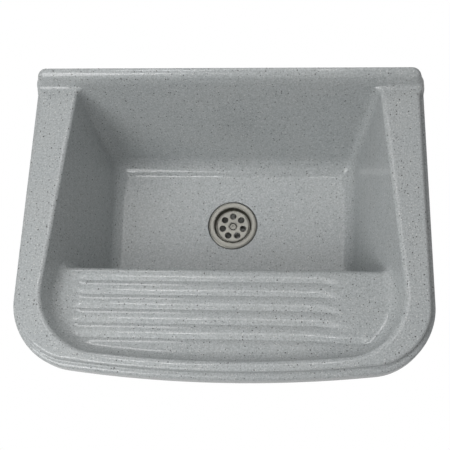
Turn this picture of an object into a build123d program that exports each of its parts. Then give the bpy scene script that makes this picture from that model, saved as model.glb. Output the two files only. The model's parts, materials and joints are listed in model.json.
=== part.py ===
"""Wall-mounted utility sink with a washboard, hung on two steel brackets.

Millimetres. X is to the user's right, +Y points into the wall and +Z is up.
The origin is on the wall plane, midway across, level with the top of the side rims.
"""
from build123d import *
from math import atan2, cos, sin, tan
import os

os.makedirs("parts", exist_ok=True)

# Rim, lip and skirt of the moulding
width_back = 604.0
width_front = 622.0
depth = 470.0
front_bow = 1900.0
front_corner = 87.0
back_corner = 8.0
lip_ledge = 8.0
lip_ledge_front = 11.0
lip_drop = 13.0
lip_start = 24.0
lip_run = 16.0
lip_start_radius = 14.0
skirt_height = 34.0
skirt_thickness = 9.0
lip_root = 7.0
skirt_foot_radius = 2.5
rim_edge_radius = 6.0
lip_edge_radius = 4.5

# Back upstand
upstand_height = 25.0
upstand_depth = 20.0
upstand_end_radius = 5.0
upstand_edge_radius = 4.5

# Bowl: its mouth at the rim and its floor
side_rim_back = 67.3
side_rim_front = 37.0
front_rim = 25.0
mouth_bow = 1800.0
mouth_front_corner = 84.0
mouth_edge_radius = 6.0
mouth_rim_depth = 7.5
bowl_depth = 215.0
floor_inset_back = 27.7
floor_inset_front = 74.0
floor_back = 70.0
floor_inset = 57.0
well_back_corner = 22.0
well_front_corner = 20.0
floor_radius = 18.0
wall = 12.0
floor_thickness = 14.0

# Washboard
board_edge = 298.0
board_drop = 50.0
board_front_drop = 16.9
board_fillet = 12.0
well_front_lean = 8.0
groove_first = 20.6
groove_pitch = 23.2
groove_count = 5
ridge_radius = 25.0
ridge_flat = 2.0
grooves_left = -222.0
grooves_right = 166.0
groove_run_in = 16.0
groove_run_out = 44.0

# Waste fitting
drain_y = -180.0
flange_radius = 42.0
flange_recess = 2.5
flange_recess_gap = 1.2
flange_gasket_thickness = 1.5
sheet = 1.2
cup_mouth_radius = 32.4
cup_foot_radius = 30.2
moat_depth = 9.6
plate_radius = 27.4
plate_depth = 6.5
sheet_bend = 1.1
plate_hole_radius = 5.3
plate_hole_ring = 18.0
plate_hole_count = 7
dimple_radius = 6.8
floor_hole_radius = 33.8
under_gasket_thickness = 3.0
body_flange_radius = 45.0
body_flange_thickness = 4.0
body_cup_radius = 35.0
body_cup_depth = 18.0
body_cone_depth = 9.0
body_wall = 2.6
outlet_radius = 23.9
outlet_bore = 20.0
outlet_length = 25.0
hub_radius = 9.5
hub_top_gap = 11.0
hub_length = 18.0
spider_ribs = 4
spider_rib_thickness = 2.6
insert_radius = 6.0
insert_length = 14.0
screw_radius = 3.0
screw_head_radius = 5.4
screw_head_height = 2.4
screw_head_sink = 0.75
screw_length = 42.0
screw_socket = 4.0
screw_socket_depth = 2.0
washer_thickness = 2.5
tail_flange_thickness = 3.0
tail_radius = 20.0
tail_wall = 1.8
tail_length = 112.0
tail_neck_radius = 19.6
tail_neck_length = 9.0
tail_chamfer = 0.5
nut_radius = 29.0
nut_height = 20.0
nut_lip = 4.0
nut_ribs = 12
nut_rib_radius = 2.2

# Wall brackets
arm_inset = 31.78
arm_width = 20.0
arm_height = 30.0
arm_wall = 2.0
arm_setback = 78.0
plate_width = 40.0
plate_thickness = 5.0
plate_height = 305.0
wall_hole_radius = 4.5
upper_hole_drop = 60.0
lower_hole_drop = 285.0
brace_width = 20.0
brace_wall = 2.0
brace_foot_drop = 250.0
brace_reach = 300.0
cap_thickness = 3.0
cap_plug = 12.0
cap_play = 0.2
pad_thickness = 3.0
pad_length = 40.0
boss_radius = 14.0
boss_back_y = -75.0
boss_front_setback = 57.0
bolt_radius = 4.0
bolt_head_flats = 13.0
bolt_head_height = 5.3
bolt_washer_radius = 8.0
bolt_washer_thickness = 1.6
bolt_engagement = 14.0
rim_insert_radius = 6.0
rim_insert_length = 16.0

# Clearances
running = 0.05
loose = 0.3
bolt_play = 0.5
seat = 0.1

# Levels and places worked out from the sizes above
mouth_width_back = width_back - 2 * side_rim_back
mouth_width_front = width_front - 2 * side_rim_front
mouth_front = depth - front_rim
floor_width_back = mouth_width_back - 2 * floor_inset_back
floor_width_front = mouth_width_front - 2 * floor_inset_front
floor_front = mouth_front - floor_inset
arm_reach = depth - arm_setback
boss_front_y = boss_front_setback - arm_reach
skirt_bottom = -lip_drop - skirt_height
floor_z = -bowl_depth
under_z = floor_z - floor_thickness
recess_z = floor_z - flange_recess
flange_z = recess_z + flange_gasket_thickness
body_z = under_z - under_gasket_thickness
cup_foot_z = body_z - body_flange_thickness - body_cup_depth
outlet_z = cup_foot_z - body_cone_depth
outlet_end_z = outlet_z - outlet_length
hub_z = body_z - hub_top_gap
tail_top_z = outlet_end_z - washer_thickness
tail_seat_z = tail_top_z - tail_flange_thickness
nut_foot_z = tail_seat_z - loose - nut_lip
plate_z = flange_z + sheet - plate_depth
arm_top_z = skirt_bottom - pad_thickness
arm_bottom_z = arm_top_z - arm_height
bolt_seat_z = arm_bottom_z - bolt_washer_thickness
drain = Plane(origin=(0, drain_y, 0))
drain_axis = Axis((0, drain_y, 0), (0, 0, 1))
drain_section = Plane(origin=(0, drain_y, 0), x_dir=(1, 0, 0), z_dir=(0, -1, 0))
board_slope = atan2(board_drop - board_front_drop, mouth_front - board_edge)
board_run = (0, -cos(board_slope), sin(board_slope))
board_up = (0, sin(board_slope), cos(board_slope))


def save(block, name):
    """Label a finished piece and write it."""
    block.part.label = name
    export_step(block.part, f"parts/{name}.step")


def bow_rise(bow, half):
    """How far a bowed front stands out over its own two ends."""
    return bow - (bow**2 - half**2) ** 0.5


def front_point(half, front, bow):
    """The right-hand corner of a bowed front, before it is rounded."""
    return (half, bow_rise(bow, half) - front)


def outline(level, right_side, radii, front, bow):
    """A symmetrical face: the right side from the wall forward, mirrored, with a bowed front."""
    with BuildSketch(Plane.XY.offset(level)) as face:
        with BuildLine():
            Polyline(*right_side)
            Polyline(*[(-x, y) for x, y in right_side])
            Line((-right_side[0][0], right_side[0][1]), right_side[0])
            ThreePointArc(right_side[-1], (0, -front), (-right_side[-1][0], right_side[-1][1]))
        make_face()
        for (x, y), radius in zip(right_side, radii):
            if radius:
                fillet(face.vertices().filter_by(lambda v, y=y: abs(v.Y - y) < 1e-4), radius)
    return face.sketch


side_spread = (width_back - width_front) / 2 / front_point(width_front / 2, depth, front_bow)[1]
arm_x = width_back / 2 - side_spread * boss_front_y - arm_inset
boss_places = [(side * arm_x, y) for side in (-1, 1) for y in (boss_back_y, boss_front_y)]


def lip_outline(level):
    """The full plan of the moulding, at the lip."""
    corner = front_point(width_front / 2, depth, front_bow)
    return outline(level, [(width_back / 2, 0), corner], [back_corner, front_corner], depth, front_bow)


def bowl(grow):
    """The bowl's tapered block from mouth to floor, or the same grown by the wall."""
    mouth_corner = front_point(mouth_width_front / 2 + grow, mouth_front + grow, mouth_bow)
    floor_corner = front_point(floor_width_front / 2 + grow, floor_front + grow, mouth_bow)
    mouth_back = (mouth_width_back / 2 + grow, grow - upstand_depth)
    floor_back_point = (floor_width_back / 2 + grow, grow - floor_back)
    floor_level = under_z if grow else floor_z
    mouth = outline(0, [mouth_back, mouth_corner], [0, 0], mouth_front + grow, mouth_bow)
    floor = outline(floor_level, [floor_back_point, floor_corner], [0, 0], floor_front + grow, mouth_bow)
    return mouth, floor


def upright_edges(block):
    """The four corner edges of a bowl block, front pair first."""
    return block.edges().filter_by(lambda e: abs(e.tangent_at(0.5).Z) > 0.5).sort_by(Axis.Y)


def well_block(grow):
    """The deep part of the bowl behind the washboard."""
    lean = well_front_lean / (bowl_depth - board_drop)
    low = (under_z if grow else floor_z) - 1
    with BuildPart() as block:
        loft(bowl(grow), ruled=True)
        with BuildSketch(Plane.YZ):
            with BuildLine():
                front_high = (-board_edge - grow - (board_drop + 1) * lean, 1)
                front_low = (-board_edge - grow - (board_drop + low) * lean, low)
                Polyline(front_high, front_low, (1, low), (1, 1), close=True)
            make_face()
        extrude(amount=width_front, both=True, mode=Mode.INTERSECT)
        fillet(upright_edges(block)[2:], well_back_corner + grow)
        fillet(upright_edges(block)[:2], well_front_corner + grow)
        fillet(block.faces().sort_by(Axis.Z)[0].edges(), floor_radius + grow)
    return block.part


def board_block(grow):
    """The space over the washboard, or the same grown by the wall."""
    drop = board_drop + grow / cos(board_slope)
    front = -mouth_front - grow - mouth_edge_radius
    back = -board_edge + well_front_corner + grow
    rise = tan(board_slope)
    with BuildPart() as block:
        loft(bowl(grow), ruled=True)
        fillet(upright_edges(block)[:2], mouth_front_corner + grow)
        with BuildSketch(Plane.YZ):
            with BuildLine():
                low_front = (front, -drop - (front + board_edge) * rise)
                low_back = (back, -drop - (back + board_edge) * rise)
                Polyline((front, 1), low_front, low_back, (back, 1), close=True)
            make_face()
        extrude(amount=width_front, both=True, mode=Mode.INTERSECT)
        low_face = block.faces().filter_by(Axis((0, 0, 0), board_up))
        fillet(low_face.edges().sort_by(Axis.Y)[:-1], board_fillet + grow / 2)
    return block.part


def groove_profile(middle):
    """Section of one groove: two ridge flanks that meet at its bottom."""
    half = groove_pitch / 2
    lift = ridge_radius - (ridge_radius**2 - ridge_flat**2) ** 0.5
    shoulder = half - ridge_flat
    quarter = shoulder / 2 + ridge_flat
    bottom = lift - bow_rise(ridge_radius, half)
    bend = lift - bow_rise(ridge_radius, quarter)
    section = Plane(origin=(grooves_left, -board_edge, -board_drop), x_dir=board_run, z_dir=(1, 0, 0))
    with BuildSketch(section) as face:
        with BuildLine():
            ThreePointArc((middle - shoulder, 0), (middle - half + quarter, bend), (middle, bottom))
            ThreePointArc((middle, bottom), (middle + half - quarter, bend), (middle + shoulder, 0))
            Polyline(
                (middle + shoulder, 0),
                (middle + shoulder, half),
                (middle - shoulder, half),
                (middle - shoulder, 0),
            )
        make_face()
    return face.sketch


with BuildPart() as cavity:
    add(well_block(0))
    add(board_block(0))

with BuildPart() as walls:
    add(well_block(wall))
    add(board_block(wall))
    split(bisect_by=Plane.XY.offset(-lip_drop), keep=Keep.BOTTOM)
    with BuildSketch(Plane.XY.offset(skirt_bottom)):
        with Locations(*boss_places):
            Circle(boss_radius)
    extrude(amount=skirt_height)
    add(cavity.part, mode=Mode.SUBTRACT)

with BuildPart() as mouth:
    loft(bowl(0), ruled=True)
    fillet(upright_edges(mouth)[2:], well_back_corner)
    fillet(upright_edges(mouth)[:2], mouth_front_corner)
    split(bisect_by=Plane.XY.offset(-mouth_rim_depth), keep=Keep.TOP)

with BuildPart() as below_mouth:
    add(cavity.part)
    split(bisect_by=Plane.XY.offset(-mouth_rim_depth), keep=Keep.BOTTOM)

with BuildPart() as grooves:
    groove_depth = bow_rise(ridge_radius, groove_pitch / 2)
    for index in range(groove_count):
        extrude(groove_profile(groove_first + index * groove_pitch), amount=grooves_right - grooves_left)
    with BuildSketch(Plane(origin=(0, -board_edge, -board_drop), x_dir=(1, 0, 0), z_dir=board_run)):
        with BuildLine():
            Polyline(
                (grooves_left, groove_depth),
                (grooves_left, 0),
                (grooves_left + groove_run_in, -groove_depth),
                (grooves_right - groove_run_out, -groove_depth),
                (grooves_right, 0),
                (grooves_right, groove_depth),
                close=True,
            )
        make_face()
    extrude(amount=mouth_front, mode=Mode.INTERSECT)

with BuildPart() as upstand:
    face_run = (floor_back - upstand_depth) / bowl_depth
    with BuildSketch(Plane.YZ):
        with BuildLine():
            Polyline(
                (0, upstand_height),
                (upstand_height * face_run - upstand_depth, upstand_height),
                (-lip_drop * face_run - upstand_depth, -lip_drop),
                (0, -lip_drop),
                close=True,
            )
        make_face()
    extrude(amount=width_front, both=True)
    extrude(lip_outline(-lip_drop), amount=lip_drop + upstand_height, mode=Mode.INTERSECT)
    front_ends = upstand.edges().filter_by(lambda e: abs(e.tangent_at(0.5).Z) > 0.5)
    fillet(front_ends.group_by(Axis.Y)[0], upstand_end_radius)
    top_edges = upstand.faces().sort_by(Axis.Z)[-1].edges()
    fillet(top_edges.filter_by(lambda e: e.center().Y < -seat), upstand_edge_radius)

with BuildPart() as basin:
    extrude(lip_outline(skirt_bottom), amount=skirt_height)
    lip_edges = basin.faces().sort_by(Axis.Z)[-1].edges()
    fillet(lip_edges.filter_by(lambda e: e.center().Y < -seat), lip_edge_radius)
    foot_edges = basin.faces().sort_by(Axis.Z)[0].edges()
    fillet(foot_edges.filter_by(lambda e: e.center().Y < -seat), skirt_foot_radius)
    hollow = offset(lip_outline(skirt_bottom), amount=-skirt_thickness, mode=Mode.PRIVATE)
    extrude(hollow, amount=skirt_height - lip_root, mode=Mode.SUBTRACT)
    root_hollow = offset(lip_outline(skirt_bottom), amount=-skirt_thickness - lip_root, mode=Mode.PRIVATE)
    extrude(root_hollow, amount=skirt_height, mode=Mode.SUBTRACT)
    rim_side = [
        (width_back / 2, 0),
        (width_back / 2 + side_spread * lip_start, -lip_start),
        (width_back / 2 + side_spread * (lip_start + lip_run) - lip_ledge, -lip_start - lip_run),
        front_point(width_front / 2 - lip_ledge, depth - lip_ledge_front, front_bow),
    ]
    rim_radii = [back_corner, lip_start_radius, lip_start_radius, front_corner - lip_ledge]
    rim = outline(-lip_drop, rim_side, rim_radii, depth - lip_ledge_front, front_bow)
    extrude(rim, amount=lip_drop)
    rim_top = basin.faces().sort_by(Axis.Z)[-1]
    fillet(rim_top.edges().filter_by(lambda e: e.center().Y < -seat), rim_edge_radius)
    add(mouth.part, mode=Mode.SUBTRACT)
    rim_top = basin.faces().filter_by(Axis.Z).sort_by(Axis.Z)[-1]
    fillet(rim_top.inner_wires().edges(), mouth_edge_radius)
    add(below_mouth.part, mode=Mode.SUBTRACT)
    add(walls.part)
    add(upstand.part)
    add(grooves.part, mode=Mode.SUBTRACT)
    with BuildSketch(Plane.XY.offset(recess_z)):
        with Locations((0, drain_y)):
            Circle(flange_radius + flange_recess_gap)
    extrude(amount=flange_recess + 1, mode=Mode.SUBTRACT)
    with BuildSketch(Plane.XY.offset(under_z - 1)):
        with Locations((0, drain_y)):
            Circle(floor_hole_radius)
    extrude(amount=floor_thickness + 1, mode=Mode.SUBTRACT)
    with BuildSketch(Plane.XY.offset(skirt_bottom)):
        with Locations(*boss_places):
            Circle(rim_insert_radius + seat)
    extrude(amount=rim_insert_length + seat, mode=Mode.SUBTRACT)
save(basin, "basin")

with BuildPart() as flange_gasket:
    with BuildSketch(drain.offset(recess_z)):
        Circle(flange_radius - seat)
        Circle(floor_hole_radius, mode=Mode.SUBTRACT)
    extrude(amount=flange_gasket_thickness)
save(flange_gasket, "flange_gasket")

with BuildPart() as strainer_dish:
    dimple_foot = screw_radius + loose + sheet / 2
    with BuildSketch(drain_section):
        with BuildLine():
            FilletPolyline(
                (flange_radius, flange_z + sheet / 2),
                (cup_mouth_radius, flange_z + sheet / 2),
                (cup_foot_radius, flange_z - moat_depth),
                (plate_radius, flange_z - moat_depth),
                (plate_radius, plate_z - sheet / 2),
                (dimple_radius, plate_z - sheet / 2),
                (dimple_foot, plate_z - sheet / 2 - dimple_radius + dimple_foot),
                radius=sheet_bend,
            )
        trace(line_width=sheet)
    revolve(axis=drain_axis)
    with BuildSketch(drain.offset(flange_z)):
        with PolarLocations(plate_hole_ring, plate_hole_count, start_angle=90):
            Circle(plate_hole_radius)
    extrude(amount=-plate_depth - sheet, mode=Mode.SUBTRACT)
save(strainer_dish, "strainer_dish")

with BuildPart() as strainer_screw:
    head_z = plate_z - screw_head_sink
    with BuildSketch(drain_section):
        with BuildLine():
            Polyline(
                (0, head_z),
                (screw_head_radius, head_z),
                (screw_radius, head_z - screw_head_height),
                (screw_radius, head_z - screw_length),
                (0, head_z - screw_length),
                close=True,
            )
        make_face()
    revolve(axis=drain_axis)
    with BuildSketch(drain.offset(head_z)):
        RegularPolygon(screw_socket / 2, 6, major_radius=False)
    extrude(amount=-screw_socket_depth, mode=Mode.SUBTRACT)
    chamfer(strainer_screw.edges().sort_by(Axis.Z)[0], screw_radius / 4)
save(strainer_screw, "strainer_screw")

with BuildPart() as underside_gasket:
    with BuildSketch(drain.offset(body_z)):
        Circle(body_flange_radius - seat)
        Circle(floor_hole_radius, mode=Mode.SUBTRACT)
    extrude(amount=under_gasket_thickness)
save(underside_gasket, "underside_gasket")

with BuildPart() as waste_body:
    cup_inner = body_cup_radius - body_wall
    with BuildSketch(drain_section):
        with BuildLine():
            Polyline(
                (cup_inner, body_z),
                (body_flange_radius, body_z),
                (body_flange_radius, body_z - body_flange_thickness),
                (body_cup_radius, body_z - body_flange_thickness),
                (body_cup_radius, cup_foot_z),
                (outlet_radius, outlet_z),
                (outlet_radius, outlet_end_z),
                (outlet_bore, outlet_end_z),
                (outlet_bore, outlet_z + body_wall),
                (cup_inner, cup_foot_z + body_wall),
                close=True,
            )
        make_face()
    revolve(axis=drain_axis)
    with BuildSketch(drain.offset(hub_z)):
        Circle(hub_radius)
        with PolarLocations(0, spider_ribs // 2, angular_range=180):
            Rectangle(2 * cup_inner + body_wall, spider_rib_thickness)
    extrude(amount=-hub_length)
    with BuildSketch(drain.offset(hub_z)):
        Circle(insert_radius + seat)
    extrude(amount=-insert_length - seat, mode=Mode.SUBTRACT)
    with BuildSketch(drain.offset(hub_z)):
        Circle(screw_radius + loose)
    extrude(amount=-hub_length, mode=Mode.SUBTRACT)
save(waste_body, "waste_body")

with BuildPart() as waste_insert:
    with BuildSketch(drain.offset(hub_z)):
        Circle(insert_radius)
        Circle(screw_radius + running, mode=Mode.SUBTRACT)
    extrude(amount=-insert_length)
save(waste_insert, "waste_insert")

with BuildPart() as tail_washer:
    with BuildSketch(drain.offset(tail_top_z)):
        Circle(outlet_radius - loose)
        Circle(outlet_bore, mode=Mode.SUBTRACT)
    extrude(amount=washer_thickness)
save(tail_washer, "tail_washer")

with BuildPart() as tail_pipe:
    with BuildSketch(drain.offset(tail_top_z)):
        Circle(outlet_radius - loose)
    extrude(amount=-tail_flange_thickness)
    with BuildSketch(drain.offset(tail_seat_z)):
        Circle(tail_neck_radius)
    extrude(amount=-tail_neck_length)
    with BuildSketch(drain.offset(tail_top_z - tail_length)):
        Circle(tail_radius)
    extrude(amount=tail_length - tail_flange_thickness - tail_neck_length)
    chamfer(tail_pipe.edges().sort_by(Axis.Z)[0], tail_chamfer)
    with BuildSketch(drain.offset(tail_top_z)):
        Circle(tail_radius - tail_wall)
    extrude(amount=-tail_length, mode=Mode.SUBTRACT)
save(tail_pipe, "tail_pipe")

with BuildPart() as union_nut:
    with BuildSketch(drain.offset(nut_foot_z)):
        Circle(nut_radius)
        with PolarLocations(nut_radius, nut_ribs):
            Circle(nut_rib_radius)
    extrude(amount=nut_height)
    with BuildSketch(drain.offset(nut_foot_z + nut_lip)):
        Circle(outlet_radius + running)
    extrude(amount=nut_height - nut_lip, mode=Mode.SUBTRACT)
    with BuildSketch(drain.offset(nut_foot_z)):
        Circle(tail_radius + loose)
    extrude(amount=nut_lip, mode=Mode.SUBTRACT)
save(union_nut, "union_nut")


def brace_section(inset):
    """Side view of a brace between the wall plate and the arm, or its hollow."""
    start = (-plate_thickness, arm_top_z - brace_foot_drop)
    angle = atan2(arm_bottom_z - start[1], brace_reach - plate_thickness)
    rise = tan(angle)
    low = start[1] + inset / cos(angle)
    high = start[1] + (brace_width - inset) / cos(angle)
    with BuildSketch(Plane.YZ) as face:
        with BuildLine():
            Polyline(
                (-plate_thickness, low),
                (-plate_thickness, high),
                (-plate_thickness - (arm_bottom_z - high) / rise, arm_bottom_z),
                (-plate_thickness - (arm_bottom_z - low) / rise, arm_bottom_z),
                close=True,
            )
        make_face()
    return face.sketch


for side_name, side in (("left", -1), ("right", 1)):
    middle = side * arm_x
    with BuildPart() as wall_plate:
        with BuildSketch(Plane.XZ):
            with Locations((middle, arm_top_z - plate_height / 2)):
                RectangleRounded(plate_width, plate_height, plate_thickness)
            with Locations((middle, arm_top_z - upper_hole_drop), (middle, arm_top_z - lower_hole_drop)):
                Circle(wall_hole_radius, mode=Mode.SUBTRACT)
        extrude(amount=plate_thickness)
    save(wall_plate, f"{side_name}_wall_plate")

    with BuildPart() as arm:
        with BuildSketch(Plane.XZ.offset(plate_thickness)):
            with Locations((middle, arm_top_z - arm_height / 2)):
                Rectangle(arm_width, arm_height)
                Rectangle(arm_width - 2 * arm_wall, arm_height - 2 * arm_wall, mode=Mode.SUBTRACT)
        extrude(amount=arm_reach - plate_thickness)
        with BuildSketch(Plane.XY.offset(arm_top_z)):
            with Locations((middle, boss_back_y), (middle, boss_front_y)):
                Circle(bolt_radius + bolt_play)
        extrude(amount=-arm_height, mode=Mode.SUBTRACT)
    save(arm, f"{side_name}_arm")

    with BuildPart() as brace:
        extrude(brace_section(0), amount=brace_width / 2, both=True)
        hollow = brace_section(brace_wall)
        extrude(hollow, amount=brace_width / 2 - brace_wall, both=True, mode=Mode.SUBTRACT)
    brace.part = brace.part.moved(Location((middle, 0, 0)))
    save(brace, f"{side_name}_brace")

    with BuildPart() as arm_cap:
        with BuildSketch(Plane.XZ.offset(arm_reach)):
            with Locations((middle, arm_top_z - arm_height / 2)):
                Rectangle(arm_width, arm_height)
        extrude(amount=cap_thickness)
        fillet(arm_cap.faces().sort_by(Axis.Y)[0].edges(), cap_thickness / 2)
        inset = 2 * (arm_wall + cap_play)
        with BuildSketch(Plane.XZ.offset(arm_reach)):
            with Locations((middle, arm_top_z - arm_height / 2)):
                Rectangle(arm_width - inset, arm_height - inset)
        extrude(amount=-cap_plug)
    save(arm_cap, f"{side_name}_arm_cap")

with BuildPart() as support_pads:
    with BuildSketch(Plane.XY.offset(arm_top_z)):
        with Locations(*boss_places):
            RectangleRounded(arm_width, pad_length, pad_thickness)
            Circle(bolt_radius + bolt_play, mode=Mode.SUBTRACT)
    extrude(amount=pad_thickness)
save(support_pads, "support_pads")

with BuildPart() as rim_inserts:
    with BuildSketch(Plane.XY.offset(skirt_bottom)):
        with Locations(*boss_places):
            Circle(rim_insert_radius)
            Circle(bolt_radius + running, mode=Mode.SUBTRACT)
    extrude(amount=rim_insert_length)
save(rim_inserts, "rim_inserts")

with BuildPart() as fixing_washers:
    with BuildSketch(Plane.XY.offset(bolt_seat_z)):
        with Locations(*boss_places):
            Circle(bolt_washer_radius)
            Circle(bolt_radius + bolt_play / 2, mode=Mode.SUBTRACT)
    extrude(amount=bolt_washer_thickness)
save(fixing_washers, "fixing_washers")

with BuildPart() as fixing_bolts:
    with BuildSketch(Plane.XY.offset(bolt_seat_z)):
        with Locations(*boss_places):
            RegularPolygon(bolt_head_flats / 2, 6, major_radius=False)
    extrude(amount=-bolt_head_height)
    with BuildSketch(Plane.XY.offset(bolt_seat_z)):
        with Locations(*boss_places):
            Circle(bolt_radius)
    extrude(amount=skirt_bottom + bolt_engagement - bolt_seat_z)
save(fixing_bolts, "fixing_bolts")
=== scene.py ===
"""Looks of the wall-mounted utility sink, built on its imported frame.

Fields and their sizes are in millimetres; finished meshes, textures and lamps are in metres.
x runs along the wall, y is negative away from it, z is 0 on the rim, and a field is negative
inside its shape.
"""
import json
import math

import bpy
import numpy as np
from mathutils import Matrix


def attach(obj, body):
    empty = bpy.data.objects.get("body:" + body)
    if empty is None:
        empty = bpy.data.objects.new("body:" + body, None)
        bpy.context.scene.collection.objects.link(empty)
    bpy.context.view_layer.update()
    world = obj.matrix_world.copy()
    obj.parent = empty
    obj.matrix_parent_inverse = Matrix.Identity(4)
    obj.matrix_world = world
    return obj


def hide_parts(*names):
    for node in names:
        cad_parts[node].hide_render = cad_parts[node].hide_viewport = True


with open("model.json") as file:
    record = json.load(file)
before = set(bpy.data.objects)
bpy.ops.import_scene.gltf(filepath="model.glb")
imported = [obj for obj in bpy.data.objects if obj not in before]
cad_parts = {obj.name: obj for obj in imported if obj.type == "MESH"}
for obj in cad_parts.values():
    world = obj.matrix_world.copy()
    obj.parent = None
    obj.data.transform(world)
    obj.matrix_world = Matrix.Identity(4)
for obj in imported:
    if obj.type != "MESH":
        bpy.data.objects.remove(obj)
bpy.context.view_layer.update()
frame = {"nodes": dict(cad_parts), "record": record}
nodes = frame["nodes"]

MM = 0.001

CAMERA_LENS = 72
CAMERA_TURN = (-14.93, 72.79, -13.75)  # turn, tilt down and roll, in degrees
CAMERA_PLACE = (105.131, -623.822, 1269.856)


def set_axes(thing, right, up, back, place):
    """Turn an object to three axes and put it at a place."""
    columns = np.column_stack([right, up, back, place])
    thing.matrix_world = Matrix(np.vstack([columns, [0, 0, 0, 1]]).tolist())


def place_camera():
    """A long lens above and in front of the sink, turned a little to its left and rolled."""
    turn, tilt, roll = (math.radians(angle) for angle in CAMERA_TURN)
    forward = np.array([math.sin(turn) * math.cos(tilt), math.cos(turn) * math.cos(tilt), -math.sin(tilt)])
    level = np.array([math.cos(turn), -math.sin(turn), 0.0])
    above = np.cross(level, forward)
    right = math.cos(roll) * level + math.sin(roll) * above
    up = -math.sin(roll) * level + math.cos(roll) * above
    camera = bpy.data.objects.new("camera", bpy.data.cameras.new("camera"))
    bpy.context.scene.collection.objects.link(camera)
    camera.data.lens = CAMERA_LENS
    camera.data.sensor_width = 36
    camera.data.clip_end = 50
    set_axes(camera, right, up, -forward, np.array(CAMERA_PLACE) * MM)
    bpy.context.scene.camera = camera


place_camera()


def smooth(low, high, value):
    """0 below low, 1 above high, and a smooth step between."""
    t = np.clip((value - low) / (high - low), 0, 1)
    return t * t * (3 - 2 * t)


def unite(a, b, radius):
    """Union of two fields, with a hollow fillet where they meet."""
    fillet = np.hypot(np.maximum(radius - a, 0), np.maximum(radius - b, 0))
    return np.maximum(radius, np.minimum(a, b)) - fillet


def common(a, b, radius):
    """What two fields share, with a rounded edge where they meet."""
    rounding = np.hypot(np.maximum(radius + a, 0), np.maximum(radius + b, 0))
    return np.minimum(-radius, np.maximum(a, b)) + rounding


# How a grid's vertices are pulled onto a field's zero level
PULLS = 4
LEAST_SLOPE = 0.2  # squared, so that a flat place gives no wild step
LONGEST_PULL = 1.0
SLAB = 12  # grid lines worked out at a time, to save memory


def field_gradient(field, points, step=0.05):
    """Slope of a field at each point, by central differences."""
    slope = np.empty_like(points)
    for axis in range(3):
        shift = np.zeros(3)
        shift[axis] = step
        ahead, behind = points + shift, points - shift
        slope[:, axis] = (field(*ahead.T) - field(*behind.T)) / (2 * step)
    return slope


def crossing_points(values, axes, cells):
    """The mean of the field's crossings on the twelve edges of each cell."""
    total = np.zeros((len(cells[0]), 3))
    count = np.zeros(len(cells[0]))
    corners = [(i, j, k) for i in (0, 1) for j in (0, 1) for k in (0, 1)]
    at = {c: values[cells[0] + c[0], cells[1] + c[1], cells[2] + c[2]] for c in corners}
    for a in corners:
        for axis in range(3):
            if a[axis]:
                continue
            b = tuple(1 if n == axis else v for n, v in enumerate(a))
            crossed = (at[a] < 0) != (at[b] < 0)
            t = at[a][crossed] / (at[a][crossed] - at[b][crossed])
            for n in range(3):
                low = axes[n][cells[n][crossed] + a[n]]
                high = axes[n][cells[n][crossed] + b[n]]
                total[crossed, n] += low + t * (high - low)
            count[crossed] += 1
    return total / count[:, None]


def net_faces(values, index):
    """One face for each grid edge that the surface crosses, wound outwards."""
    inside = values < 0
    faces = []
    for axis in range(3):
        near = np.take(inside, range(inside.shape[axis] - 1), axis)
        far = np.take(inside, range(1, inside.shape[axis]), axis)
        trim = [slice(1, -1)] * 3
        trim[axis] = slice(None)
        crossed = (near != far)[tuple(trim)]
        leaving = near[tuple(trim)][crossed]
        i, j, k = (n + (0 if m == axis else 1) for m, n in enumerate(np.nonzero(crossed)))
        side, other = [m for m in range(3) if m != axis]
        ring = []
        for da, db in ((0, 0), (1, 0), (1, 1), (0, 1)):
            cell = [i, j, k]
            cell[side] = cell[side] - da
            cell[other] = cell[other] - db
            ring.append(index[tuple(cell)])
        quads = np.stack(ring, 1)
        flip = leaving if axis != 1 else ~leaving
        quads[flip] = quads[flip][:, ::-1]
        faces.append(quads[:, ::-1])
    return np.concatenate(faces)


def skin(name, field, axes, slot):
    """A closed mesh on a field's zero level, made on a grid and pulled onto the level."""
    x, y, z = (a.astype(np.float32) for a in axes)
    slabs = []
    for part in np.array_split(x, max(1, len(x) // SLAB)):
        slabs.append(field(*np.meshgrid(part, y, z, indexing="ij")).astype(np.float32))
    values = np.concatenate(slabs)
    inside = values < 0
    mixed = np.zeros([n - 1 for n in inside.shape], np.int8)
    for i in (0, 1):
        for j in (0, 1):
            for k in (0, 1):
                mixed += inside[i : i + mixed.shape[0], j : j + mixed.shape[1], k : k + mixed.shape[2]]
    cells = np.nonzero((mixed > 0) & (mixed < 8))
    index = np.full(mixed.shape, -1, np.int32)
    index[cells] = np.arange(len(cells[0]))
    points = crossing_points(values, axes, cells)
    for _ in range(PULLS):
        slope = field_gradient(field, points)
        length = np.maximum((slope**2).sum(1), LEAST_SLOPE)
        move = slope * (field(*points.T) / length)[:, None]
        far = np.maximum(np.sqrt((move**2).sum(1)) / LONGEST_PULL, 1)
        points = points - move / far[:, None]
    normals = field_gradient(field, points)
    normals /= np.maximum(np.linalg.norm(normals, axis=1), 1e-6)[:, None]
    return mesh_object(name, points * MM, net_faces(values, index), normals, slot)


def mesh_object(name, points, faces, normals, slot):
    """A mesh from arrays of points and four-sided faces, shaded by the given normals."""
    mesh = bpy.data.meshes.new(name)
    mesh.vertices.add(len(points))
    mesh.vertices.foreach_set("co", points.astype(np.float32).ravel())
    mesh.loops.add(faces.size)
    mesh.loops.foreach_set("vertex_index", faces.astype(np.int32).ravel())
    mesh.polygons.add(len(faces))
    mesh.polygons.foreach_set("loop_start", np.arange(0, faces.size, 4, dtype=np.int32))
    mesh.update(calc_edges=True)
    mesh.polygons.foreach_set("use_smooth", np.ones(len(faces), bool))
    mesh.normals_split_custom_set_from_vertices(normals.tolist())
    piece = bpy.data.objects.new(name, mesh)
    bpy.context.scene.collection.objects.link(piece)
    piece.data.materials.append(materials[slot])
    return piece


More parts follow.
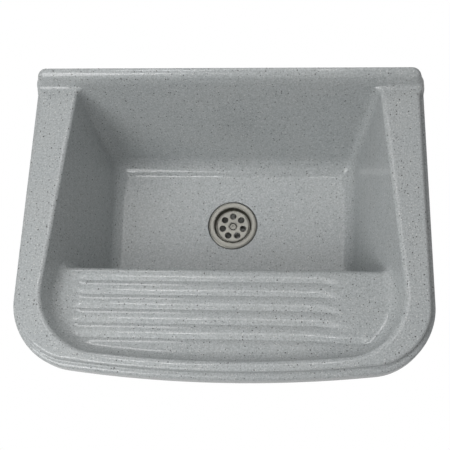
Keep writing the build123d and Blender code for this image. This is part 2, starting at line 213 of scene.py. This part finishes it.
def graded(*stretches):
    """Grid lines through stretches of (start, end, spacing)."""
    lines = [stretches[0][0]]
    for start, end, spacing in stretches:
        count = max(1, round((end - start) / spacing))
        lines.extend(start + (end - start) * (n + 1) / count for n in range(count))
    return np.array(lines)


materials = {}


def new_material(slot):
    """A material under its slot's name, with its nodes and its shader."""
    material = bpy.data.materials.new(slot)
    material.use_nodes = True
    tree = material.node_tree
    materials[slot] = material
    return tree, tree.nodes["Principled BSDF"]


def node(tree, kind, **settings):
    """A new node; each setting is one of its inputs or one of its properties."""
    made = tree.nodes.new(kind)
    for name, value in settings.items():
        if name in made.inputs:
            made.inputs[name].default_value = value
        else:
            setattr(made, name, value)
    return made


def own_coordinates(tree):
    """The piece's own coordinates, from one node for each material."""
    where = tree.nodes.get("where") or node(tree, "ShaderNodeTexCoord", name="where")
    return where.outputs["Object"]


def noise(tree, grain, **settings):
    """A noise on the piece's own coordinates, with a grain of a real size in metres."""
    texture = node(tree, "ShaderNodeTexNoise", **settings)
    texture.inputs["Scale"].default_value = 1 / grain
    tree.links.new(own_coordinates(tree), texture.inputs["Vector"])
    return texture.outputs[0]


def ramp(tree, source, low, high, invert=False):
    """A 0 to 1 mask as a value passes from low to high."""
    mask = node(tree, "ShaderNodeMapRange", clamp=True)
    mask.inputs["From Min"].default_value = low
    mask.inputs["From Max"].default_value = high
    mask.inputs["To Min"].default_value = 1 if invert else 0
    mask.inputs["To Max"].default_value = 0 if invert else 1
    tree.links.new(source, mask.inputs["Value"])
    return mask.outputs["Result"]


def between(tree, mask, low, high):
    """A value that runs from low to high as a mask runs from 0 to 1."""
    value = node(tree, "ShaderNodeMapRange")
    value.inputs["To Min"].default_value = low
    value.inputs["To Max"].default_value = high
    tree.links.new(mask, value.inputs["Value"])
    return value.outputs["Result"]


def calculate(tree, operation, a, b):
    """The result of a calculation on two sockets."""
    made = node(tree, "ShaderNodeMath", operation=operation)
    tree.links.new(a, made.inputs[0])
    tree.links.new(b, made.inputs[1])
    return made.outputs[0]


def blend_colours(tree, mask, under, over):
    """over where the mask is 1, and under elsewhere; each is a socket or a colour."""
    mix = node(tree, "ShaderNodeMix", data_type="RGBA")
    tree.links.new(mask, mix.inputs["Factor"])
    for value, socket in ((under, mix.inputs[6]), (over, mix.inputs[7])):
        if isinstance(value, tuple):
            socket.default_value = (*value, 1)
        else:
            tree.links.new(value, socket)
    return mix.outputs[2]


def bumped(tree, height, strength, depth):
    """A normal disturbed by a texture, with a depth in metres."""
    bump = node(tree, "ShaderNodeBump")
    bump.inputs["Strength"].default_value = strength
    bump.inputs["Distance"].default_value = depth
    tree.links.new(height, bump.inputs["Height"])
    return bump.outputs[0]


# Chips in the composite: spacing, least and greatest radius, shift of the pattern, colour
CHIPS = (
    (0.0031, 0.0005, 0.0010, 3.1, (0.70, 0.70, 0.68)),
    (0.0034, 0.0005, 0.0010, 7.7, (0.17, 0.175, 0.175)),
    (0.0047, 0.0006, 0.0014, 1.9, (0.06, 0.058, 0.056)),
)
CHIP_SHARE = 0.50  # of the pattern's cells
CHIP_EDGE = 0.12  # how soft a chip's edge is, as a part of its spacing


def chips(tree, spacing, least, greatest, shift):
    """Round chips in a random share of the cells of a Voronoi pattern."""
    moved = node(tree, "ShaderNodeVectorMath", operation="ADD")
    moved.inputs[1].default_value = (shift, shift * 0.7, -shift * 1.3)
    tree.links.new(own_coordinates(tree), moved.inputs[0])
    cells = node(tree, "ShaderNodeTexVoronoi")
    cells.inputs["Scale"].default_value = 1 / spacing
    cells.inputs["Randomness"].default_value = 1
    tree.links.new(moved.outputs[0], cells.inputs["Vector"])
    random = node(tree, "ShaderNodeSeparateColor")
    tree.links.new(cells.outputs["Color"], random.inputs[0])
    chosen = ramp(tree, random.outputs[0], CHIP_SHARE, CHIP_SHARE + 0.01, invert=True)
    reach = between(tree, random.outputs[1], least / spacing, greatest / spacing)
    gap = calculate(tree, "SUBTRACT", reach, cells.outputs["Distance"])
    return calculate(tree, "MULTIPLY", chosen, ramp(tree, gap, 0.0, CHIP_EDGE))


def make_composite():
    """Moulded composite: pale grey with a fine grain, dark and white chips and a clear gloss."""
    tree, shader = new_material("composite")
    clouds = ramp(tree, noise(tree, 0.09, Detail=3.0), 0.35, 0.65)
    grain = ramp(tree, noise(tree, 0.0026, Detail=3.0, Roughness=0.7), 0.33, 0.67)
    base = blend_colours(tree, clouds, (0.32, 0.343, 0.348), (0.35, 0.367, 0.365))
    base = blend_colours(tree, grain, base, (0.55, 0.575, 0.58))
    for *sizes, colour in CHIPS:
        base = blend_colours(tree, chips(tree, *sizes), base, colour)
    tree.links.new(base, shader.inputs["Base Color"])
    shader.inputs["IOR"].default_value = 1.5
    shader.inputs["Coat Weight"].default_value = 0.7
    shader.inputs["Coat Roughness"].default_value = 0.07
    wear = ramp(tree, noise(tree, 0.02, Detail=3.0), 0.3, 0.7)
    tree.links.new(between(tree, wear, 0.42, 0.52), shader.inputs["Roughness"])
    ripple = bumped(tree, noise(tree, 0.012, Detail=2.0), 0.15, 0.0003)
    tree.links.new(ripple, shader.inputs["Normal"])
    tree.links.new(ripple, shader.inputs["Coat Normal"])


def make_plain(slot, low, high, rough, metallic, grain, bump_depth):
    """A material whose colour and roughness vary a little on a noise of a real grain size."""
    tree, shader = new_material(slot)
    height = noise(tree, grain, Detail=4.0, Roughness=0.6)
    mask = ramp(tree, height, 0.3, 0.7)
    tree.links.new(blend_colours(tree, mask, low, high), shader.inputs["Base Color"])
    tree.links.new(between(tree, mask, *rough), shader.inputs["Roughness"])
    shader.inputs["Metallic"].default_value = metallic
    tree.links.new(bumped(tree, height, 0.4, bump_depth), shader.inputs["Normal"])


make_composite()
make_plain("steel", (0.255, 0.25, 0.225), (0.335, 0.328, 0.30), (0.3, 0.44), 1.0, 0.0012, 0.00002)
make_plain("rubber", (0.016, 0.016, 0.017), (0.03, 0.03, 0.032), (0.65, 0.85), 0.0, 0.001, 0.00008)
make_plain("waste_plastic", (0.74, 0.74, 0.71), (0.80, 0.80, 0.78), (0.34, 0.46), 0.0, 0.003, 0.00005)
make_plain("brass", (0.55, 0.38, 0.14), (0.72, 0.52, 0.22), (0.28, 0.42), 1.0, 0.0015, 0.00003)
make_plain("bracket_paint", (0.72, 0.73, 0.74), (0.79, 0.80, 0.81), (0.36, 0.48), 0.0, 0.0014, 0.00008)
make_plain("cap_plastic", (0.02, 0.02, 0.021), (0.035, 0.035, 0.037), (0.45, 0.6), 0.0, 0.001, 0.00005)
make_plain("fixings", (0.52, 0.53, 0.55), (0.66, 0.67, 0.68), (0.28, 0.42), 1.0, 0.002, 0.00003)

for subpart in frame["record"]["subparts"]:
    piece = nodes[subpart["node"]]
    piece.data.materials.clear()
    piece.data.materials.append(materials[subpart["material_slot"]])


# The moulding's plan, rim, lip and skirt
HALF_WIDTH = 302  # at the wall
FLARE = 0.02025  # gain of half the width for each mm away from the wall
DEPTH = 470
FRONT_BOW = 1900
FRONT_CORNER = 87
BACK_CORNER = 12
RIM_EDGE = 4
LEDGE_FILLET = 2.6
LIP_Z = -13
LIP_EDGE = 6.5
ROOT_Z = -20  # down to here the skirt is thicker by its root
ROOT = 7
SKIRT = 9
SKIRT_Z = -47
SKIRT_EDGE = 2.5
UNDER_RIM_Z = -2  # walls and bosses run up into the rim to here
WALL = 12
BOSS_X = 277
BOSS_YS = (-75, -335)
BOSS_RADIUS = 14

# The upstand along the wall
UPSTAND_Z = 25
UPSTAND_DEPTH = 20
UPSTAND_EDGE = 9
UPSTAND_FOOT_Z = -21
BEVEL = 0.42  # slope of the face above its bend
BEVEL_DEPTH = 18.1
BEVEL_Z = 8
DRAFT = 0.2326  # slope of the face below it, and of the ends

# The bowl: lengths are measured from the wall, and the walls lean in towards the floor
WELL_DEPTH = 215
WELL_EDGE = 20
UNDER_FLOOR = 217.0  # depth of the bowl that the wall's outside follows
MOUTH_BACK = 20
BACK_LEAN = 50
MOUTH_FRONT = 445
FRONT_LEAN = 57
MOUTH_BOW = 1800
MOUTH_CORNER = 86
MOUTH_EDGE = 5.5
SIDE_LENGTH = 403.4  # of the mouth's sides
SIDE_LOSS = 97.5  # how much shorter they are on the floor
HALF_MOUTH = 234.7  # at the back
MOUTH_GAIN = 39.3  # how much more it is at the front
HALF_FLOOR = 207
FLOOR_LOSS = 7
BACK_TRUE, FRONT_TRUE, STEP_TRUE = 0.974, 0.967, 0.9988  # cosines of the walls' leans
SIDE_TWIST = 0.003  # what the sides' widening adds to their squared slope

# The washboard
BOARD_EDGE = 298
BOARD_DROP = 50
BOARD_FILLET = 7.0
STEP_LEAN = 0.0485  # slope of the well's wall below the board's edge
SLOPE = math.radians(12.7)
PITCH = 23.2
FIRST_GROOVE = 20.6
GROOVES = 5
RIDGE = 21.5
RIDGE_TOP = 0.1  # kept flat on each ridge
GROOVE_ROUNDING = 0.8
GROOVE_BEND = 3.0
GROOVES_RIGHT = 184
RUN_OUT = 46
LAST_LONGER = 55

# The drain
DRAIN_Y = -180
RECESS_Z = -217.5
RECESS_RADIUS = 42.4
FLOOR_HOLE = 33.8


def bowed(front, bow, x, y):
    """Distance outside a front that bows out to a given depth."""
    return np.hypot(x, y + front - bow) - bow


def side_line(x, y):
    """Distance outside the two flared sides of the moulding."""
    return np.abs(x) - (HALF_WIDTH - FLARE * y)


def lip_plan(x, y):
    """Distance outside the plan of the whole moulding."""
    front = bowed(DEPTH, FRONT_BOW, x, y)
    return common(common(side_line(x, y), front, FRONT_CORNER), y, BACK_CORNER)


def groove_depth(x, u):
    """Depth of the washboard's grooves at a place across and along it."""
    turn = u - FIRST_GROOVE + PITCH / 2 - GROOVE_BEND * smooth(132, 176, x)
    count = np.floor(turn / PITCH)
    v = turn - PITCH * count - PITCH / 2
    away = np.clip(PITCH / 2 - np.sqrt(v * v + GROOVE_ROUNDING), 0, PITCH / 2)
    profile = np.maximum(RIDGE - np.sqrt(RIDGE**2 - away**2) - RIDGE_TOP, 0)
    profile = np.where((count >= 0) & (count < GROOVES), profile, 0)
    longer = np.where(count == GROOVES - 1, LAST_LONGER, 0)
    return profile * smooth(-227, -207, x) * smooth(0, RUN_OUT, GROOVES_RIGHT + longer - x)


def cavity(x, y, z, floor=WELL_DEPTH, carved=True):
    """Distance outside the hollow of the bowl, from its mouth to its floor and washboard."""
    d = -y
    t = -z / WELL_DEPTH
    s = np.clip((d - MOUTH_BACK - BACK_LEAN * t) / (SIDE_LENGTH - SIDE_LOSS * t), -0.3, 1.4)
    high, low = HALF_MOUTH + MOUTH_GAIN * s, HALF_FLOOR - FLOOR_LOSS * s
    steep = np.sqrt(1 + ((high - low) / WELL_DEPTH) ** 2 + SIDE_TWIST)
    sides = (np.abs(x) - (high + t * (low - high))) / steep
    front = bowed(MOUTH_FRONT - FRONT_LEAN * t, MOUTH_BOW, x, y) * FRONT_TRUE
    back = (y + MOUTH_BACK + BACK_LEAN * t) * BACK_TRUE
    back_corner = 12 + 6 * smooth(10, 140, -z)
    walls = common(common(sides, front, MOUTH_CORNER), back, back_corner)
    well_front = (d - BOARD_EDGE + STEP_LEAN * (-z - BOARD_DROP)) * STEP_TRUE
    along = (d - BOARD_EDGE) / math.cos(SLOPE)
    drop = groove_depth(x, along) if carved else 0
    surface = -BOARD_DROP + (d - BOARD_EDGE) * math.tan(SLOPE)
    board = (surface - z) * math.cos(SLOPE) - drop
    ground = unite(common(well_front, -floor - z, WELL_EDGE), board, BOARD_FILLET)
    corner = 12 + 5 * smooth(-10, -50, well_front) + 8 * smooth(140, 90, d)
    return common(walls, ground, corner)


def raised_back(x, y, z):
    """The upstand along the wall, with a drafted and bent face and drafted ends."""
    ends = (side_line(x, y) + DRAFT * np.maximum(z - LIP_Z, 0)) / math.hypot(1, DRAFT)
    upper = (-y - BEVEL_DEPTH + BEVEL * (z - BEVEL_Z)) / math.hypot(1, BEVEL)
    lower = (-y - UPSTAND_DEPTH + DRAFT * z) / math.hypot(1, DRAFT)
    face = np.maximum(upper, lower) + np.maximum(1 - np.abs(upper - lower), 0) ** 2 / 4
    upstand = common(common(ends, z - UPSTAND_Z, UPSTAND_EDGE), face, UPSTAND_EDGE)
    back_edge = 1.5 + 8.5 * smooth(280, 296, np.abs(x))
    return np.maximum(common(upstand, y, back_edge), UPSTAND_FOOT_Z - z)


def under_skirt(plan, z):
    """The hollow inside the skirt, narrower above where the skirt's root is."""
    below_root = common(plan + SKIRT, z - ROOT_Z, 3)
    beside_root = common(plan + (SKIRT + ROOT), z - LIP_Z, 3)
    return np.minimum(below_root, beside_root)


def basin(x, y, z):
    """The whole moulding."""
    plan = lip_plan(x, y)
    d = -y
    ledge = 3 + 5 * smooth(20, 36, d) + 3 * smooth(380, 450, d)
    rim = common(plan + ledge, z, RIM_EDGE)
    lip = common(plan, z - LIP_Z, LIP_EDGE)
    body = common(unite(rim, lip, LEDGE_FILLET), SKIRT_Z - z, SKIRT_EDGE)
    body = common(body, -under_skirt(plan, z), 1.5)
    outer = np.maximum(cavity(x, y, z, UNDER_FLOOR, False) - WALL, z - UNDER_RIM_Z)
    body = unite(body, outer, 3)
    for boss_y in BOSS_YS:
        boss = np.hypot(np.abs(x) - BOSS_X, y - boss_y) - BOSS_RADIUS
        body = np.minimum(body, np.maximum(boss, np.maximum(SKIRT_Z - z, z - UNDER_RIM_Z)))
    body = common(body, -cavity(x, y, z), MOUTH_EDGE)
    body = unite(body, raised_back(x, y, z), 6 * smooth(236, 250, np.abs(x)))
    around = np.hypot(x, y - DRAIN_Y)
    recess = common(around - RECESS_RADIUS, RECESS_Z - z, 0.5)
    body = common(body, -recess, 0.6)
    return np.maximum(common(body, FLOOR_HOLE - around, 0.8), y)


side_lines = ((216, 262, 3.0), (262, 313, 1.8))
x_half = graded((0.7, 50.7, 2.0), (50.7, 216, 3.6), *side_lines)
x_lines = np.concatenate([-x_half[::-1], x_half])
front_lines = ((-473, -428, 1.8), (-428, -290, 1.6), (-290, -228, 3.6))
y_lines = graded(*front_lines, (-228, -132, 2.0), (-132, -42, 3.6), (-42, 2.1, 1.5))
z_lines = graded((-232, -212, 1.3), (-212, -56, 5.2), (-56, -44, 2.0), (-44, 27, 1.35))
sink = skin("basin_skin", basin, (x_lines, y_lines, z_lines), "composite")
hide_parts("basin")
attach(sink, "sink")


# The strainer dish: the middle line of its sheet as radius and height, and its holes
PLATE_Z = -221.9
DISH_LINE = (
    (41.2, -215.6),
    (39.6, -215.3),
    (32.6, -215.5),
    (30.2, -225.6),
    (27.2, -225.6),
    (27.0, PLATE_Z),
    (6.9, PLATE_Z),
    (4.1, -224.6),
)
HALF_SHEET = 0.6
SHEET_BEND = 0.8
HOLES = 7
HOLE_RING = 18
HOLE_RADIUS = 5.3


def segment(r, z, start, end):
    """Distance to a straight piece of a section line."""
    run, rise = end[0] - start[0], end[1] - start[1]
    t = np.clip(((r - start[0]) * run + (z - start[1]) * rise) / (run * run + rise * rise), 0, 1)
    return np.hypot(r - start[0] - t * run, z - start[1] - t * rise)


def dish(x, y, z):
    """The pressed strainer dish: flange, moat and plate with its holes and screw dimple."""
    px, py = x, y - DRAIN_Y
    r = np.hypot(px, py)
    sheet = segment(r, z, DISH_LINE[0], DISH_LINE[1]) - HALF_SHEET
    for start, end in zip(DISH_LINE[1:], DISH_LINE[2:]):
        sheet = unite(sheet, segment(r, z, start, end) - HALF_SHEET, SHEET_BEND)
    turn = np.arctan2(py, px) - math.pi / 2
    share = 2 * math.pi / HOLES
    turn = turn - share * np.round(turn / share)
    hole = np.hypot(r * np.cos(turn) - HOLE_RING, r * np.sin(turn)) - HOLE_RADIUS
    hole = np.maximum(hole, np.abs(z - PLATE_Z) - 3)
    return common(sheet, -hole, 0.5)


dish_x = graded((-43, 43, 0.62))
dish_y = graded((-223, -137, 0.62))
dish_z = graded((-227.4, -213.8, 0.45))
strainer = skin("strainer_skin", dish, (dish_x, dish_y, dish_z), "steel")
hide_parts("strainer_dish")
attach(strainer, "strainer")


# The strainer screw
HEAD_Z = -223.1
HEAD_RADIUS = 4.9
HEAD_SLOPE = 0.707  # cosine of the head's cone
SHANK_TOP_Z, SHANK_FOOT_Z = -223.4, -264
SHANK_RADIUS = 3
SOCKET_Z = -226.0
HALF_SOCKET = 2.3


def screw(x, y, z):
    """The countersunk screw, its head a little below the plate, with a hexagon socket."""
    px, py = x, y - DRAIN_Y
    r = np.hypot(px, py)
    head = np.maximum((r - HEAD_RADIUS - (z - HEAD_Z)) * HEAD_SLOPE, z - HEAD_Z)
    shank = common(np.maximum(r - SHANK_RADIUS, z - SHANK_TOP_Z), SHANK_FOOT_Z - z, 0.6)
    sides = [np.abs(px * math.cos(a) + py * math.sin(a)) for a in (0, math.pi / 3, -math.pi / 3)]
    hexagon = np.maximum(np.maximum(sides[0], sides[1]), sides[2])
    socket = np.maximum(hexagon - HALF_SOCKET, SOCKET_Z - z)
    return common(np.minimum(head, shank), -socket, 0.25)


screw_x = graded((-6, 6, 0.3))
screw_z = graded((-265, -228, 0.9), (-228, -222.3, 0.3))
screw_skin = skin("screw_skin", screw, (screw_x, screw_x + DRAIN_Y, screw_z), "steel")
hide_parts("strainer_screw")
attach(screw_skin, "strainer_screw")


STAGE_HALF = 6.0
STAGE_Z = -0.46
WORLD_STRENGTH = 0.25

# Lamps: name, place, what it points at, width and length, power in watts
LAMPS = (
    ("key", (-0.96, -1.21, 1.36), (0, -0.25, -0.1), (1.1, 1.1), 19),
    ("left_panel", (-0.32, -0.1, 1.5), (-0.32, -0.1, 0), (0.32, 0.1), 1.2),
    ("right_panel", (0.2, -0.1, 1.5), (0.2, -0.1, 0), (0.1, 0.1), 0.4),
    ("front_panel", (-0.43, -1.0, 1.5), (-0.2, -0.4, 0), (0.65, 0.05), 1.2),
    ("window", (-0.55, 1.25, 0.95), (-0.1, -0.35, -0.03), (0.5, 0.45), 3.4),
    ("ceiling", (-0.1, 0.3, 1.9), (0, -0.25, -0.1), (1.0, 0.8), 4.6),
)


def make_stage():
    """A pale floor under the sink that the camera sees as white."""
    h = STAGE_HALF
    mesh = bpy.data.meshes.new("floor")
    corners = [(-h, -h, STAGE_Z), (h, -h, STAGE_Z), (h, h, STAGE_Z), (-h, h, STAGE_Z)]
    mesh.from_pydata(corners, [], [(0, 1, 2, 3)])
    floor = bpy.data.objects.new("floor", mesh)
    bpy.context.scene.collection.objects.link(floor)
    tree, shader = new_material("floor")
    shader.inputs["Base Color"].default_value = (0.9, 0.9, 0.9, 1)
    shader.inputs["Roughness"].default_value = 0.9
    glow = node(tree, "ShaderNodeEmission")
    glow.inputs["Color"].default_value = (1, 1, 1, 1)
    rays = node(tree, "ShaderNodeLightPath")
    mix = node(tree, "ShaderNodeMixShader")
    tree.links.new(rays.outputs["Is Camera Ray"], mix.inputs[0])
    tree.links.new(shader.outputs[0], mix.inputs[1])
    tree.links.new(glow.outputs[0], mix.inputs[2])
    tree.links.new(mix.outputs[0], tree.nodes["Material Output"].inputs["Surface"])
    floor.data.materials.append(materials["floor"])


def make_world():
    """Even white light from all sides."""
    world = bpy.data.worlds.new("world")
    bpy.context.scene.world = world
    world.use_nodes = True
    background = world.node_tree.nodes["Background"]
    background.inputs["Color"].default_value = (1, 1, 1, 1)
    background.inputs["Strength"].default_value = WORLD_STRENGTH


def area_light(name, place, aim, size, power):
    """A rectangular lamp that points at a place; one that points straight down lies along x."""
    light = bpy.data.lights.new(name, "AREA")
    light.shape = "RECTANGLE"
    light.size, light.size_y = size
    light.energy = power
    lamp = bpy.data.objects.new(name, light)
    bpy.context.scene.collection.objects.link(lamp)
    place, aim = np.array(place), np.array(aim)
    back = (place - aim) / np.linalg.norm(place - aim)
    across = np.cross([0, 0, 1], back) if abs(back[2]) < 0.99 else np.array([1.0, 0, 0])
    across = across / np.linalg.norm(across)
    set_axes(lamp, across, np.cross(back, across), back, place)


make_stage()
make_world()
for lamp_values in LAMPS:
    area_light(*lamp_values)
bpy.context.scene.view_settings.view_transform = "Standard"
